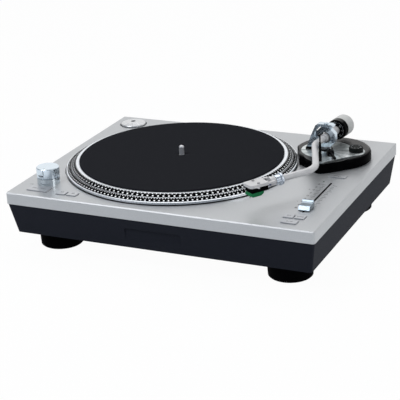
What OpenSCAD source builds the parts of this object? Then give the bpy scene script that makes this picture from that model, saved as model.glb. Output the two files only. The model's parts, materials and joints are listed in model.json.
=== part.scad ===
// Turntable with a strobe-edged platter and an S-shaped tonearm, in millimetres.
// The origin is on the floor under the middle of the plinth: X to the right, Y to the rear, Z up.

/* [Plinth] */
// Width of the silver top
plinth_w = 450; // [446:1:470]
// Depth of the silver top
plinth_d = 356; // [354:1:372]
// Height of the silver top's edge
lip_h = 16.5; // [14:0.5:20]
// Height of the dark lower case
base_h = 44.5; // [44:0.5:60]
// Height of the rubber feet
foot_h = 26; // [18:1:32]
// Radius of the rubber feet
foot_r = 31.5; // [24:0.5:34]
// Thickness of the deck plate
deck_t = 5; // [4.5:0.25:6]
// Thickness of the lower case's wall at its foot
wall_t = 4; // [3:0.5:5]
// How far the case's sides lean in
taper_side = 7; // [4:0.5:9]
// How far the case's front leans in
taper_front = 9; // [6:0.5:11]
// How far the case's rear leans in
taper_rear = 3; // [2:0.5:5]
// Rounding of the plinth's upright corners
corner_r = 4; // [3:0.5:6]
// Width of the shallow panel in the case's front
panel_w = 83; // [60:1:110]
// Height of the shallow panel in the case's front
panel_h = 18; // [12:0.5:22]

/* [Platter] */
// Outer radius of the platter's lowest lip
platter_r = 165.5; // [162:0.5:167.5]
// Height of the platter's flat top above the deck
platter_rise = 11.5; // [11:0.25:13]
// Radius of the slipmat
mat_r = 146.5; // [142:0.5:148]
// Thickness of the slipmat
mat_t = 2.5; // [1.5:0.25:3]
// Radius of the record spindle
spindle_r = 3.58; // [3.5:0.01:3.62]
// Height of the spindle above the slipmat
spindle_rise = 13; // [10:0.5:15]
// Depth of the well that the platter turns in
well_depth = 4; // [3:0.25:4.25]

/* [Controls] */
// Radius of the power and strobe tower
tower_r = 16; // [13:0.5:17]
// Height of the tower's fixed foot
tower_h = 9; // [8:0.5:11]
// Height of the turning power knob
knob_h = 14.5; // [9:0.1:17]
// Height of the buttons above the deck
button_rise = 1.2; // [1:0.1:2.5]
// Travel of a button
button_travel = 1.4; // [0.8:0.1:1.5]
// Travel of the pitch slider
slider_travel = 90; // [60:1:92]
// Width of the pitch slider's cap
cap_w = 15.5; // [12:0.5:18]
// Length of the pitch slider's cap
cap_l = 20; // [16:0.5:24]
// Height of the pitch slider's cap
cap_h = 9.5; // [8:0.5:13]
// Radius of the single adapter
adapter_r = 19; // [18:0.25:19.5]

/* [Tonearm] */
// Height of the arm's tube above the deck
arm_rise = 34; // [33.5:0.25:37]
// Radius of the arm's tube
tube_r = 4.6; // [4:0.1:4.9]
// Wall of the arm's tube
tube_wall = 0.8; // [0.6:0.1:1.2]
// Angle of the resting arm from the plinth's side
rest_angle = 6.4; // [5:0.1:8]
// Straight run of the tube in front of the pivot
run_1 = 30; // [28:0.5:34]
// Angle of the first bend
bend_1 = 27; // [22:0.5:29]
// Straight run between the bends
run_2 = 73; // [66:0.5:76]
// Angle of the second bend
bend_2 = 54; // [46:0.5:56]
// Straight run behind the headshell's collar
run_3 = 38; // [34:0.5:40]
// Radius of the arm's black base
arm_base_r = 54.5; // [52:0.25:55]
// Radius of the counterweight
weight_r = 15; // [13:0.25:15.25]
// Length of the counterweight
weight_l = 20.7; // [18:0.1:25]

/* [Fits] */
// Running fit of a shaft in its sleeve
run_gap = 0.05; // [0.02:0.01:0.1]
// Gap between faces that move past each other
move_gap = 0.3; // [0.3:0.05:0.4]

/* [Hidden] */
$fn = 64;
e = 0.01;

case_z = foot_h;
lip_z = case_z + base_h;
deck_z = lip_z + lip_h;
under_z = deck_z - deck_t;
skirt_t = 5;
case_inset = 1;
plate_t = 2.5;
floor_z = case_z + plate_t;
cav_x = plinth_w / 2 - case_inset - taper_side - wall_t;
cav_f = plinth_d / 2 - case_inset - taper_front - wall_t;
cav_r = plinth_d / 2 - case_inset - taper_rear - wall_t;
front_lean = atan(taper_front / base_h);
panel_depth = 2.3;
panel_lean = atan(panel_depth / panel_h);
edge_cut = 2;
left = -plinth_w / 2;
right = plinth_w / 2;
front = -plinth_d / 2;
rear = plinth_d / 2;

hub = [left + 184, rear - 174];
well_r = platter_r + 2;
well_z = deck_z - well_depth;
plat_z = deck_z + platter_rise;
mat_z = plat_z + mat_t;
plat_t = 5.3;
web_z = plat_z - plat_t;
shaft_big = spindle_r + 0.2;
sleeve_r = 11;
sleeve_low = deck_z - 41;
thrust_z = sleeve_low + 4;
board_t = 1.6;
coil_h = 2.4;
magnet_h = 5;

tower_xy = [left + 38, front + 54];
start_xy = [left + 39, front + 26];
start_wd = [32, 17];
speed_low_xy = [left + 77, front + 22];
speed_high_xy = [left + 94, front + 22];
speed_wd = [15, 12];
range_xy = [right - 41.2, front + 22];
range_wd = [21.5, 12];
reverse_xy = [right - 48.6, front + 40.5];
lock_xy = [right - 33.4, front + 40.5];
pair_wd = [13.6, 13];
reset_xy = [right - 36.5, rear - 160.5];
reset_wd = [25, 11];
button_gap = 0.4;
flange_t = 1.2;
stem_r = 2;
stem_z = under_z - flange_t - 2.4;
switch_z = stem_z - button_travel - 0.3;
sboard_z = switch_z - 4.4 - board_t;

slot_w = 3;
slider_x = right - 36.5;
slider_y = front + 71;
slider_low = 8;
slot_front = slider_y - slider_low - 5;
slot_rear = slider_y + slider_travel + 10;
fader_h = 14;
fader_z = under_z - fader_h;
track_z = fader_z + 7;
cap_lift = 0.6;
cap_grip = cap_h - 4.6;
adapter_xy = [left + 33, rear - 32];
adapter_depth = 3.4;

pivot = [hub[0] + 191.3, hub[1] + 77.3];
arm_z = deck_z + arm_rise;
arm_base_xy = [pivot[0] + 6.7, pivot[1] + 7.7];
arm_base_h = 14.5;
arm_base_z = deck_z + arm_base_h;
arm_plate_t = 2;
arm_plate_z = arm_base_z + arm_plate_t;
disc_r = 36;
disc_t = 2;
disc_z = arm_base_z - 1.5;
disc_top = disc_z + disc_t;
skate_xy = [pivot[0] + 43.7, pivot[1] + 0.7];
skate_r = 10;
lobe_xy = [pivot[0] + 9.7, pivot[1] - 51.3];
ring_r = 15;
ring_in = 8;
ring_gap = 0.8;
ring_t = 8;
block_r = 6;
block_l = 11;
yaw_r = 4;
pin_r = 1.5;
shaft_r = 4.5;
weight_front = -42.3;
weight_back = weight_front - weight_l;
dial_front = -31;
bridge_t = 11;
bridge_in = arm_z + ring_r + ring_gap;
bridge_top = bridge_in + 3.7;

lift_a = 38;
lift_r = 19;
lift_travel = 4.5;
lift_w = 4;
lift_z = arm_z - tube_r - 0.5 - lift_travel - 2;
post_r = 2.5;
lever_r = 26;
lever_z = disc_top + 4.5;
lever_l = 27;

turn_1 = 30;
turn_2 = 40;
head = bend_1 - bend_2;
tube_n = 32;
p1 = [run_1, 0];
p2 = [run_1 + turn_1 * sin(bend_1), turn_1 * (1 - cos(bend_1))];
p3 = p2 + run_2 * [cos(bend_1), sin(bend_1)];
c2 = p3 + turn_2 * [sin(bend_1), -cos(bend_1)];
p4 = c2 + turn_2 * [-sin(head), cos(head)];
p5 = p4 + run_3 * [cos(head), sin(head)];
rest_at = p2 + 11 * [cos(bend_1), sin(bend_1)];
latch_z = tube_r + 1.9;
latch_y = tube_r + 2.1;
shell_top = 4.5;
shell_low = 0.5;
rail_z = 1.2;
rail_t = 2.4;
seat_z = 2.4;
cart_z = -6.8;

jack_x = 62;
jack_y = cav_r - 8;
jack_z = case_z + 23;
jack_w = 112;
jack_h = 24;
phono_x = [jack_x + 24, jack_x + 44];
ground_x = jack_x + 4;
inlet_x = jack_x - 32;
phono_r = 4.15;
inlet_w = 25;
inlet_h = 17;

boss_xy = [cav_x - 4, cav_f - 4, cav_r - 4];
foot_xy = [plinth_w / 2 - 53, plinth_d / 2 - 53];
main_xy = [hub[0] - 50, hub[1] - 66];
main_wd = [160, 90];
main_z = floor_z + 7.5;
trans_xy = [hub[0] - 97, hub[1] + 92];

module slab(w, d, r, h) {
  linear_extrude(h) {
    square([w - 2 * r, d], center = true);
    square([w, d - 2 * r], center = true);
    for (sx = [-1, 1], sy = [-1, 1])
      translate([sx * (w / 2 - r), sy * (d / 2 - r)])
        circle(r);
  }
}

module at(p, z) {
  translate([p[0], p[1], z])
    children();
}

module at_arm() {
  translate([pivot[0], pivot[1], arm_z])
    rotate([0, 0, -90 - rest_angle])
      children();
}

module at_head() {
  at_arm()
    translate([p5[0], p5[1], 0])
      rotate([0, 0, head])
        children();
}

module at_rest() {
  at_arm()
    translate([rest_at[0], rest_at[1], 0])
      rotate([0, 0, bend_1])
        children();
}

module at_lift(r, z) {
  translate([pivot[0], pivot[1], z])
    rotate([0, 0, -90 - rest_angle + lift_a])
      translate([r, 0, 0])
        children();
}

module along(r, l) {
  rotate([0, 90, 0])
    cylinder(r = r, h = l);
}

// the plinth

module button_hole(xy, wd) {
  at(xy, under_z - 1)
    slab(wd[0] + 2 * button_gap, wd[1] + 2 * button_gap, 1.6, deck_t + 2);
}

module deck_top() {
  color([0.74, 0.75, 0.76])
  difference() {
    union() {
      difference() {
        translate([0, 0, lip_z])
          slab(plinth_w, plinth_d, corner_r, lip_h);
        translate([0, 0, lip_z - 1])
          slab(plinth_w - 2 * skirt_t, plinth_d - 2 * skirt_t, 2, lip_h - deck_t + 1);
      }
      at(hub, well_z - 4)
        cylinder(r = well_r + 1.5, h = well_depth + 4 - 1);
    }
    for (s = [-1, 1]) {
      translate([0, s * plinth_d / 2, deck_z])
        rotate([45, 0, 0])
          cube([plinth_w + 20, edge_cut, edge_cut], center = true);
      translate([s * plinth_w / 2, 0, deck_z])
        rotate([0, 45, 0])
          cube([edge_cut, plinth_d + 20, edge_cut], center = true);
    }
    at(hub, well_z)
      cylinder(r = well_r, h = well_depth + 1, $fn = 128);
    at(hub, well_z - 10)
      cylinder(r = sleeve_r, h = 20);
    at(adapter_xy, deck_z - adapter_depth)
      cylinder(r = adapter_r + 2, h = adapter_depth + 1);
    at(tower_xy, under_z - 1)
      cylinder(r = 3 + 0.4, h = deck_t + 2);
    button_hole(start_xy, start_wd);
    button_hole(speed_low_xy, speed_wd);
    button_hole(speed_high_xy, speed_wd);
    button_hole(range_xy, range_wd);
    button_hole(reverse_xy, pair_wd);
    button_hole(lock_xy, pair_wd);
    button_hole(reset_xy, reset_wd);
    translate([slider_x - slot_w / 2, slot_front, under_z - 1])
      cube([slot_w, slot_rear - slot_front, deck_t + 2]);
    arm_screw_places()
      translate([0, 0, under_z - 1])
        cylinder(r = 1.8, h = deck_t + 2);
  }
}

module case_outline(h) {
  hull() {
    translate([0, 0, lip_z - h])
      slab(plinth_w - 2 * case_inset, plinth_d - 2 * case_inset, corner_r, h, $fn = 32);
    translate([0, (taper_front - taper_rear) / 2, case_z])
      slab(plinth_w - 2 * (case_inset + taper_side), plinth_d - 2 * case_inset - taper_front - taper_rear,
        corner_r, h, $fn = 32);
  }
}

module base_shell() {
  color([0.13, 0.14, 0.16])
  difference() {
    union() {
      difference() {
        case_outline(0.4);
        translate([-cav_x, -cav_f, case_z - 1])
          cube([2 * cav_x, cav_f + cav_r, base_h + 2]);
      }
      for (sx = [-1, 1]) {
        translate([sx * boss_xy[0], -boss_xy[1], floor_z])
          cylinder(r = 6, h = 26);
        translate([sx * boss_xy[0], boss_xy[2], floor_z])
          cylinder(r = 6, h = 26);
      }
      translate([jack_x - jack_w / 2 - 4, jack_y - 4, jack_z - jack_h / 2 - 4])
        cube([jack_w + 8, 13, jack_h + 8]);
    }
    translate([jack_x - jack_w / 2, jack_y, jack_z - jack_h / 2])
      cube([jack_w, 30, jack_h]);
    for (x = phono_x)
      translate([x, jack_y - 10, jack_z])
        rotate([-90, 0, 0])
          cylinder(r = phono_r, h = 20);
    translate([ground_x, jack_y - 10, jack_z])
      rotate([-90, 0, 0])
        cylinder(r = 2, h = 20);
    translate([inlet_x - inlet_w / 2, jack_y - 10, jack_z - inlet_h / 2])
      cube([inlet_w, 20, inlet_h]);
    translate([-4, front + case_inset + taper_front / 2, case_z + base_h / 2 - 1])
      rotate([90 + front_lean, 0, 0])
        translate([0, -panel_h / 2, -0.15])
          rotate([-panel_lean, 0, 0])
            translate([0, panel_h / 2, 0])
              slab(panel_w, panel_h, 3, 6);
    screw_places()
      translate([0, 0, case_z - 1])
        cylinder(r = 1.5, h = 16);
  }
}

module screw_places() {
  for (sx = [-1, 1]) {
    translate([sx * boss_xy[0], -boss_xy[1], 0])
      children();
    translate([sx * boss_xy[0], boss_xy[2], 0])
      children();
  }
}

module foot_places() {
  for (sx = [-1, 1], sy = [-1, 1])
    translate([sx * foot_xy[0], sy * foot_xy[1], 0])
      children();
}

module bottom_plate() {
  color([0.2, 0.2, 0.21])
  difference() {
    translate([0, (cav_r - cav_f) / 2, case_z])
      slab(2 * cav_x - 0.4, cav_f + cav_r - 0.4, 0.5, plate_t);
    screw_places()
      translate([0, 0, case_z - 1])
        cylinder(r = 1.5, h = plate_t + 2);
    foot_places()
      translate([0, 0, case_z - 1])
        cylinder(r = 2.5, h = plate_t + 2);
  }
}

module case_screws() {
  color([0.25, 0.25, 0.26])
  screw_places() {
    translate([0, 0, case_z - 1.8])
      cylinder(r = 3.2, h = 1.8);
    translate([0, 0, case_z - e])
      cylinder(r = 1.5, h = 14);
  }
}

module feet() {
  color([0.05, 0.05, 0.05])
  foot_places()
    difference() {
      rotate_extrude($fn = 96)
        polygon([[0, 0], [foot_r - 3, 0], [foot_r - 1.5, 1.5], [foot_r - 0.5, foot_h - 6],
          [foot_r - 1.6, foot_h - 5.4], [foot_r - 1.6, foot_h - 4.4], [foot_r, foot_h - 4],
          [foot_r, foot_h - 0.8], [foot_r - 0.8, foot_h], [0, foot_h]]);
      translate([0, 0, -1])
        cylinder(r = 8, h = 11);
      cylinder(r = 2.5, h = foot_h + 1);
    }
}

module foot_screws() {
  color([0.6, 0.6, 0.62])
  foot_places() {
    translate([0, 0, 7])
      cylinder(r = 5, h = 3);
    translate([0, 0, 9])
      cylinder(r = 2.5, h = floor_z - 9 + 1);
    translate([0, 0, floor_z])
      cylinder(r = 5, h = 4, $fn = 6);
  }
}

// the motor and the boards

module bearing_sleeve() {
  color([0.72, 0.6, 0.32])
  at(hub, 0)
    difference() {
      union() {
        translate([0, 0, sleeve_low])
          cylinder(r = sleeve_r, h = well_z - sleeve_low + 3);
        translate([0, 0, well_z])
          cylinder(r = 22, h = 2.5);
      }
      translate([0, 0, thrust_z])
        cylinder(r = shaft_big + run_gap, h = 80);
    }
}

module stator_board() {
  color([0.1, 0.32, 0.16])
  at(hub, well_z)
    difference() {
      cylinder(r = 72, h = board_t);
      translate([0, 0, -1])
        cylinder(r = 22.5, h = board_t + 2);
    }
}

module stator_coils() {
  color([0.72, 0.4, 0.2])
  at(hub, well_z + board_t)
    for (i = [0 : 11])
      rotate([0, 0, 30 * i])
        translate([58, 0, 0])
          difference() {
            cylinder(r = 10, h = coil_h, $fn = 32);
            translate([0, 0, -1])
              cylinder(r = 4, h = coil_h + 2, $fn = 32);
          }
}

module main_board() {
  color([0.1, 0.32, 0.16])
  at(main_xy, main_z) {
    translate([0, 0, board_t / 2])
      cube([main_wd[0], main_wd[1], board_t], center = true);
    for (i = [-2 : 2])
      translate([26 * i, 22, board_t - e])
        cylinder(r = 5, h = 12, $fn = 32);
    translate([-40, -18, board_t - e])
      cube([60, 14, 9]);
    translate([34, -26, board_t - e])
      cube([26, 26, 2.4]);
  }
}

module transformer() {
  color([0.3, 0.3, 0.3])
  at(trans_xy, floor_z) {
    translate([-33, -22, 0])
      cube([66, 44, 3]);
    translate([-28, -20, 3 - e])
      cube([56, 40, 30]);
    translate([-18, -26, 8])
      cube([36, 52, 20]);
  }
}

module board_posts() {
  color([0.8, 0.7, 0.4]) {
    for (sx = [-1, 1], sy = [-1, 1])
      translate([main_xy[0] + sx * (main_wd[0] / 2 - 5), main_xy[1] + sy * (main_wd[1] / 2 - 5), floor_z])
        cylinder(r = 3, h = main_z - floor_z);
    for (p = [[start_xy[0] - 21, front + 35], [speed_low_xy[0] - 13, front + 35], [start_xy[0] - 21, front + 18],
        [speed_high_xy[0] + 13, front + 18], [right - 61, front + 18], [right - 21, front + 18],
        [right - 61, front + 45], [right - 21, front + 45], [reset_xy[0] - 16, reset_xy[1]],
        [reset_xy[0] + 16, reset_xy[1]]])
      translate([p[0], p[1], sboard_z + board_t])
        cylinder(r = 2.5, h = under_z - sboard_z - board_t);
  }
}

module push_switch(xy) {
  translate([xy[0] - 3, xy[1] - 3, sboard_z + board_t - e])
    cube([6, 6, switch_z - sboard_z - board_t + e]);
}

module switch_boards() {
  color([0.1, 0.3, 0.16]) {
    translate([start_xy[0] - 24, front + 15, sboard_z])
      cube([speed_high_xy[0] - start_xy[0] + 40, 23, board_t]);
    push_switch(start_xy);
    push_switch(speed_low_xy);
    push_switch(speed_high_xy);
    translate([right - 64, front + 15, sboard_z])
      cube([46, 33, board_t]);
    push_switch(range_xy);
    push_switch(reverse_xy);
    push_switch(lock_xy);
    translate([reset_xy[0] - 19, reset_xy[1] - 6, sboard_z])
      cube([38, 12, board_t]);
    push_switch(reset_xy);
  }
}

module fader_body() {
  color([0.16, 0.16, 0.17])
  difference() {
    translate([slider_x - 8, slot_front - 6, fader_z])
      cube([16, slot_rear - slot_front + 12, fader_h]);
    translate([slider_x - 0.9, slot_front, track_z])
      cube([1.8, slot_rear - slot_front, fader_h]);
  }
}

// the controls on the deck

module strobe_tower() {
  color([0.75, 0.76, 0.78])
  at(tower_xy, deck_z)
    difference() {
      cylinder(r = tower_r, h = tower_h, $fn = 96);
      translate([0, 0, -1])
        cylinder(r = 3 + 0.4, h = tower_h + 2);
      rotate([0, 0, 41.5])
        translate([tower_r - 5.5, -5.5, 1.5])
          cube([10, 11, 5.5]);
    }
}

module strobe_lens() {
  color([0.75, 0.08, 0.06])
  at(tower_xy, deck_z)
    rotate([0, 0, 41.5])
      translate([tower_r - 5.5, -5.5, 1.5])
        cube([3, 11, 5.5]);
}

module power_switch() {
  color([0.18, 0.18, 0.19])
  at(tower_xy, under_z - 16)
    difference() {
      translate([-13, -13, 0])
        cube([26, 26, 16]);
      translate([0, 0, 8])
        cylinder(r = 3 + run_gap, h = 10);
    }
}

module power_knob() {
  color([0.8, 0.81, 0.83])
  at(tower_xy, deck_z + tower_h + move_gap)
    difference() {
      union() {
        rotate_extrude($fn = 96)
          polygon([[0, 0], [tower_r - 0.6, 0], [tower_r, 0.6], [tower_r, knob_h - 1], [tower_r - 1, knob_h],
            [0, knob_h]]);
        translate([0, 0, -tower_h - move_gap - deck_t - 8])
          cylinder(r = 3, h = tower_h + move_gap + deck_t + 9);
      }
      rotate([0, 0, -84]) {
        translate([tower_r - 6, -0.5, knob_h - 0.6])
          cube([8, 1, 2]);
        translate([tower_r - 0.7, -0.5, knob_h - 8])
          cube([3, 1, 10]);
      }
    }
}

module button(xy, wd) {
  at(xy, 0) {
    translate([0, 0, under_z - e])
      slab(wd[0], wd[1], 1.2, deck_t + button_rise - 0.5 + e);
    translate([0, 0, under_z + deck_t + button_rise - 0.5 - e])
      slab(wd[0] - 0.8, wd[1] - 0.8, 0.9, 0.5 + e);
    translate([0, 0, under_z - flange_t])
      slab(wd[0] + 1.2, wd[1] + 1.2, 1.2, flange_t);
    translate([0, 0, stem_z])
      cylinder(r = stem_r, h = under_z - flange_t - stem_z + e);
  }
}

module start_button() {
  color([0.78, 0.79, 0.8])
  button(start_xy, start_wd);
}

module speed_low_button() {
  color([0.78, 0.79, 0.8])
  button(speed_low_xy, speed_wd);
}

module speed_high_button() {
  color([0.78, 0.79, 0.8])
  button(speed_high_xy, speed_wd);
}

module range_button() {
  color([0.78, 0.79, 0.8])
  button(range_xy, range_wd);
}

module reverse_button() {
  color([0.78, 0.79, 0.8])
  button(reverse_xy, pair_wd);
}

module lock_button() {
  color([0.78, 0.79, 0.8])
  button(lock_xy, pair_wd);
}

module reset_button() {
  color([0.78, 0.79, 0.8])
  button(reset_xy, reset_wd);
}

module slider_cap() {
  color([0.8, 0.81, 0.82])
  translate([slider_x, slider_y, deck_z + cap_lift])
    difference() {
      rotate([90, 0, 90])
        translate([0, 0, -cap_w / 2])
          linear_extrude(cap_w)
            polygon([[-cap_l / 2, 0], [cap_l / 2, 0], [cap_l / 2, cap_h - 2], [cap_l / 2 - 1, cap_h - 0.3],
              [cap_l / 2 - 2, cap_h], [cap_l / 2 - 3.2, cap_h - 0.3], [cap_l / 2 - 4.6, cap_h - 2],
              [cap_l / 2 - 8, cap_h - 3], [4 - cap_l / 2, cap_h - 3.6], [-cap_l / 2, 1.2]]);
      translate([-0.5, -4, -1])
        cube([1, 8, cap_grip + 1]);
    }
}

module slider_stem() {
  color([0.7, 0.7, 0.7])
  translate([slider_x - 0.5, slider_y - 4, track_z])
    cube([1, 8, deck_z + cap_lift + cap_grip - track_z]);
}

module adapter() {
  color([0.8, 0.8, 0.82])
  at(adapter_xy, deck_z - adapter_depth)
    difference() {
      rotate_extrude($fn = 96)
        polygon([[0, 0], [adapter_r - 0.6, 0], [adapter_r, 0.6], [adapter_r, 5], [adapter_r - 1, 6],
          [adapter_r - 8, 8], [8, 8.4], [0, 8.4]]);
      translate([0, 0, -1])
        cylinder(r = spindle_r + 0.12, h = 12);
    }
}

// the platter

module platter() {
  color([0.85, 0.86, 0.87])
  at(hub, deck_z)
    rotate_extrude($fn = 180)
      polygon([[shaft_big, web_z - deck_z - 4], [24, web_z - deck_z - 4], [24, web_z - deck_z],
        [platter_r - 15, web_z - deck_z], [platter_r - 5, 1.2], [platter_r, 1.2], [platter_r, 4],
        [platter_r - 1, 4.2], [mat_r + 4.5, platter_rise + 0.5], [mat_r + 0.8, platter_rise + 0.5],
        [mat_r + 0.4, platter_rise], [shaft_big, platter_rise]]);
}

module slip_mat() {
  color([0.13, 0.13, 0.15])
  at(hub, plat_z)
    difference() {
      cylinder(r = mat_r, h = mat_t, $fn = 180);
      translate([0, 0, -1])
        cylinder(r = shaft_big + 0.3, h = mat_t + 2);
    }
}

module spindle() {
  color([0.8, 0.8, 0.82])
  at(hub, 0)
    rotate_extrude()
      polygon([[0, thrust_z], [shaft_big, thrust_z], [shaft_big, mat_z], [spindle_r, mat_z],
        [spindle_r, mat_z + spindle_rise - 2.2],
        [spindle_r - 0.7, mat_z + spindle_rise - 0.8], [spindle_r - 2, mat_z + spindle_rise],
        [0, mat_z + spindle_rise]]);
}

module rotor_magnet() {
  color([0.22, 0.22, 0.23])
  at(hub, web_z - magnet_h)
    difference() {
      cylinder(r = 70, h = magnet_h, $fn = 96);
      translate([0, 0, -1])
        cylinder(r = 46, h = magnet_h + 2, $fn = 96);
    }
}

// the fixed foot of the tonearm

module arm_screw_places() {
  for (a = [20, 140, 260])
    translate([arm_base_xy[0] + 40 * cos(a), arm_base_xy[1] + 40 * sin(a), 0])
      children();
}

module arm_base() {
  color([0.06, 0.06, 0.07])
  difference() {
    union() {
      at(arm_base_xy, deck_z)
        rotate_extrude($fn = 128)
          polygon([[0, 0], [arm_base_r - 0.8, 0], [arm_base_r, 0.8], [arm_base_r, arm_base_h - 5],
            [arm_base_r - 0.9, arm_base_h - 2.4], [arm_base_r - 2.4, arm_base_h - 0.8],
            [arm_base_r - 4.6, arm_base_h], [0, arm_base_h]]);
      translate([0, 0, deck_z])
        linear_extrude(arm_base_h)
          hull() {
            translate(lobe_xy)
              circle(9, $fn = 48);
            translate([lobe_xy[0] - 1, lobe_xy[1] + 32])
              circle(34, $fn = 96);
          }
    }
    at(hub, deck_z - 1)
      cylinder(r = platter_r + 2.5, h = 40, $fn = 180);
    at(pivot, disc_z)
      cylinder(r = disc_r + 0.1, h = 10, $fn = 96);
    at(pivot, deck_z + 2)
      cylinder(r = 9, h = 30);
    at(skate_xy, arm_base_z - 6)
      cylinder(r = 2 + run_gap, h = 10);
    arm_screw_places()
      translate([0, 0, deck_z - 1])
        cylinder(r = 1.8, h = 9);
  }
}

module arm_screws() {
  color([0.55, 0.55, 0.57])
  arm_screw_places() {
    translate([0, 0, under_z - 2])
      cylinder(r = 3.4, h = 2);
    translate([0, 0, under_z - e])
      cylinder(r = 1.8, h = deck_t + 8);
  }
}

module arm_plate() {
  color([0.76, 0.77, 0.78])
  difference() {
    translate([0, 0, arm_base_z])
      linear_extrude(arm_plate_t)
        hull() {
          translate(skate_xy)
            circle(skate_r + 2.5, $fn = 64);
          translate(lobe_xy)
            circle(7, $fn = 48);
        }
    at(pivot, arm_base_z - 1)
      cylinder(r = disc_r + 0.4, h = 10, $fn = 96);
    at(skate_xy, arm_base_z - 1)
      cylinder(r = 2 + run_gap, h = 10);
  }
}

module arm_disc() {
  color([0.78, 0.8, 0.8])
  at(pivot, disc_z)
    difference() {
      cylinder(r = disc_r, h = disc_t, $fn = 96);
      translate([0, 0, -1])
        cylinder(r = 9, h = disc_t + 2);
    }
}

module pivot_sleeve() {
  color([0.6, 0.6, 0.62])
  at(pivot, deck_z + 2)
    difference() {
      cylinder(r = 9, h = disc_top + 1.5 - deck_z - 2);
      translate([0, 0, 3])
        cylinder(r = yaw_r + run_gap, h = 30);
    }
}

module arm_bridge() {
  h = bridge_top - disc_top;
  hi = bridge_in - disc_top;
  color([0.77, 0.79, 0.82])
  at(pivot, disc_top) {
    rotate([90, 0, 0])
      translate([0, 0, -bridge_t / 2])
        linear_extrude(bridge_t)
          polygon([[-29, 0], [-19.5, h - 13.5], [-14.5, h - 2.5], [-10.5, h], [9, h], [11.5, h - 2],
            [11.5, hi], [-7.3, hi], [-7.9, hi - 0.4], [-16.2, hi - 9.4], [-16.2, hi - 22.3], [-20.5, 0]]);
    translate([0, 0, hi - ring_gap - 2.5])
      cylinder(r = 2, h = ring_gap + 4.5);
    translate([0, 0, h - e])
      cylinder(r = 3.6, h = 1);
  }
}

module arm_rest() {
  color([0.1, 0.1, 0.11])
  at_rest()
    difference() {
      union() {
        translate([-5, -4, -tube_r - 4.5])
          cube([10, 4 + latch_y + 2, 3]);
        translate([-5, latch_y - 1.5, -tube_r - 4.5])
          cube([10, 3.5, tube_r + 4.5 + latch_z - 3]);
        translate([0, latch_y - 1, -(arm_z - arm_plate_z)])
          cylinder(r = 3.6, h = arm_z - arm_plate_z - tube_r - 4);
        for (s = [-1, 1])
          translate([s * 4 - 1, latch_y - 1.5, latch_z - 3 - e])
            cube([2, 3.5, 3]);
        for (s = [-1, 1])
          translate([s * 4 - 1, latch_y + 0.25, latch_z])
            along(1.75, 2);
        translate([-4, latch_y + 0.25, latch_z])
          along(0.8, 8);
      }
    }
}

module rest_latch() {
  color([0.1, 0.1, 0.11])
  at_rest()
    translate([0, latch_y + 0.25, latch_z])
      difference() {
        union() {
          translate([-2.6, 0, 0])
            along(1.7, 5.2);
          translate([-2.6, -1, 0])
            cube([5.2, 2, 2 * tube_r + 5]);
          translate([-2.6, -2.4, 2 * tube_r + 3])
            cube([5.2, 1.5, 2]);
        }
        translate([-4, 0, 0])
          along(0.8 + move_gap, 8);
      }
}

module cue_bracket() {
  color([0.12, 0.12, 0.13])
  difference() {
    union() {
      at_lift(lift_r, disc_top)
        cylinder(r = 4.2, h = 5.5);
      for (s = [-1, 1])
        at_lift(lift_r + 2, disc_top)
          translate([0, s * 3.4 - 1.2, 0])
            cube([lever_r - lift_r + 1, 2.4, 6.8]);
      at_lift(lever_r, lever_z)
        rotate([90, 0, 0])
          cylinder(r = 1, h = 8, center = true);
    }
    at_lift(lift_r, disc_top + 1)
      cylinder(r = post_r + run_gap, h = 20);
  }
}

module cue_lever() {
  color([0.07, 0.07, 0.08])
  at_lift(lever_r, lever_z)
    difference() {
      union() {
        rotate([90, 0, 0])
          cylinder(r = 2.3, h = 3.6, center = true);
        along(1.5, lever_l - 10);
        translate([lever_l - 11, 0, 0])
          along(2.1, 11);
        translate([lever_l, 0, 0])
          sphere(2.1);
      }
      rotate([90, 0, 0])
        cylinder(r = 1 + move_gap, h = 12, center = true);
    }
}

module lift_bar() {
  color([0.2, 0.2, 0.21]) {
    at_lift(lift_r, disc_top + 1)
      cylinder(r = post_r, h = lift_z - disc_top - 1 + e);
    translate([pivot[0], pivot[1], lift_z])
      rotate([0, 0, -90 - rest_angle - 62])
        rotate_extrude(angle = 62 + lift_a)
          translate([lift_r - lift_w / 2, 0])
            square([lift_w, 2]);
    at_lift(lift_r, lift_z)
      cylinder(r = post_r, h = 2);
  }
}

module skate_knob() {
  color([0.12, 0.13, 0.13])
  at(skate_xy, arm_plate_z + move_gap) {
    rotate_extrude($fn = 96)
      polygon([[0, 0], [skate_r, 0], [skate_r, 5.4], [skate_r - 0.8, 6.2], [0, 6.2]]);
    translate([0, 0, -arm_plate_t - 5])
      cylinder(r = 2, h = arm_plate_t + 6);
  }
}

// the moving tonearm

module gimbal_ring() {
  color([0.78, 0.82, 0.87])
  at_arm()
    difference() {
      union() {
        difference() {
          translate([-ring_t / 2, 0, 0])
            rotate([90, 0, 90])
              linear_extrude(ring_t)
                polygon([for (i = [0 : 7])
                  ring_r / cos(22.5) * [cos(45 * i + 22.5), sin(45 * i + 22.5)]]);
          translate([-ring_t, 0, 0])
            along(ring_in, 2 * ring_t);
        }
        translate([0, 0, deck_z + 5 - arm_z])
          cylinder(r = yaw_r, h = arm_z - deck_z - 5 - ring_in - 1);
      }
      translate([0, 0, ring_r - 2.8])
        cylinder(r = 2 + run_gap, h = 5);
      rotate([90, 0, 0])
        cylinder(r = pin_r, h = 40, center = true);
    }
}

module gimbal_pins() {
  color([0.5, 0.5, 0.52])
  at_arm()
    for (s = [-1, 1])
      translate([0, s * 9.3, 0])
        rotate([90, 0, 0])
          cylinder(r = pin_r, h = 9, center = true);
}

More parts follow.
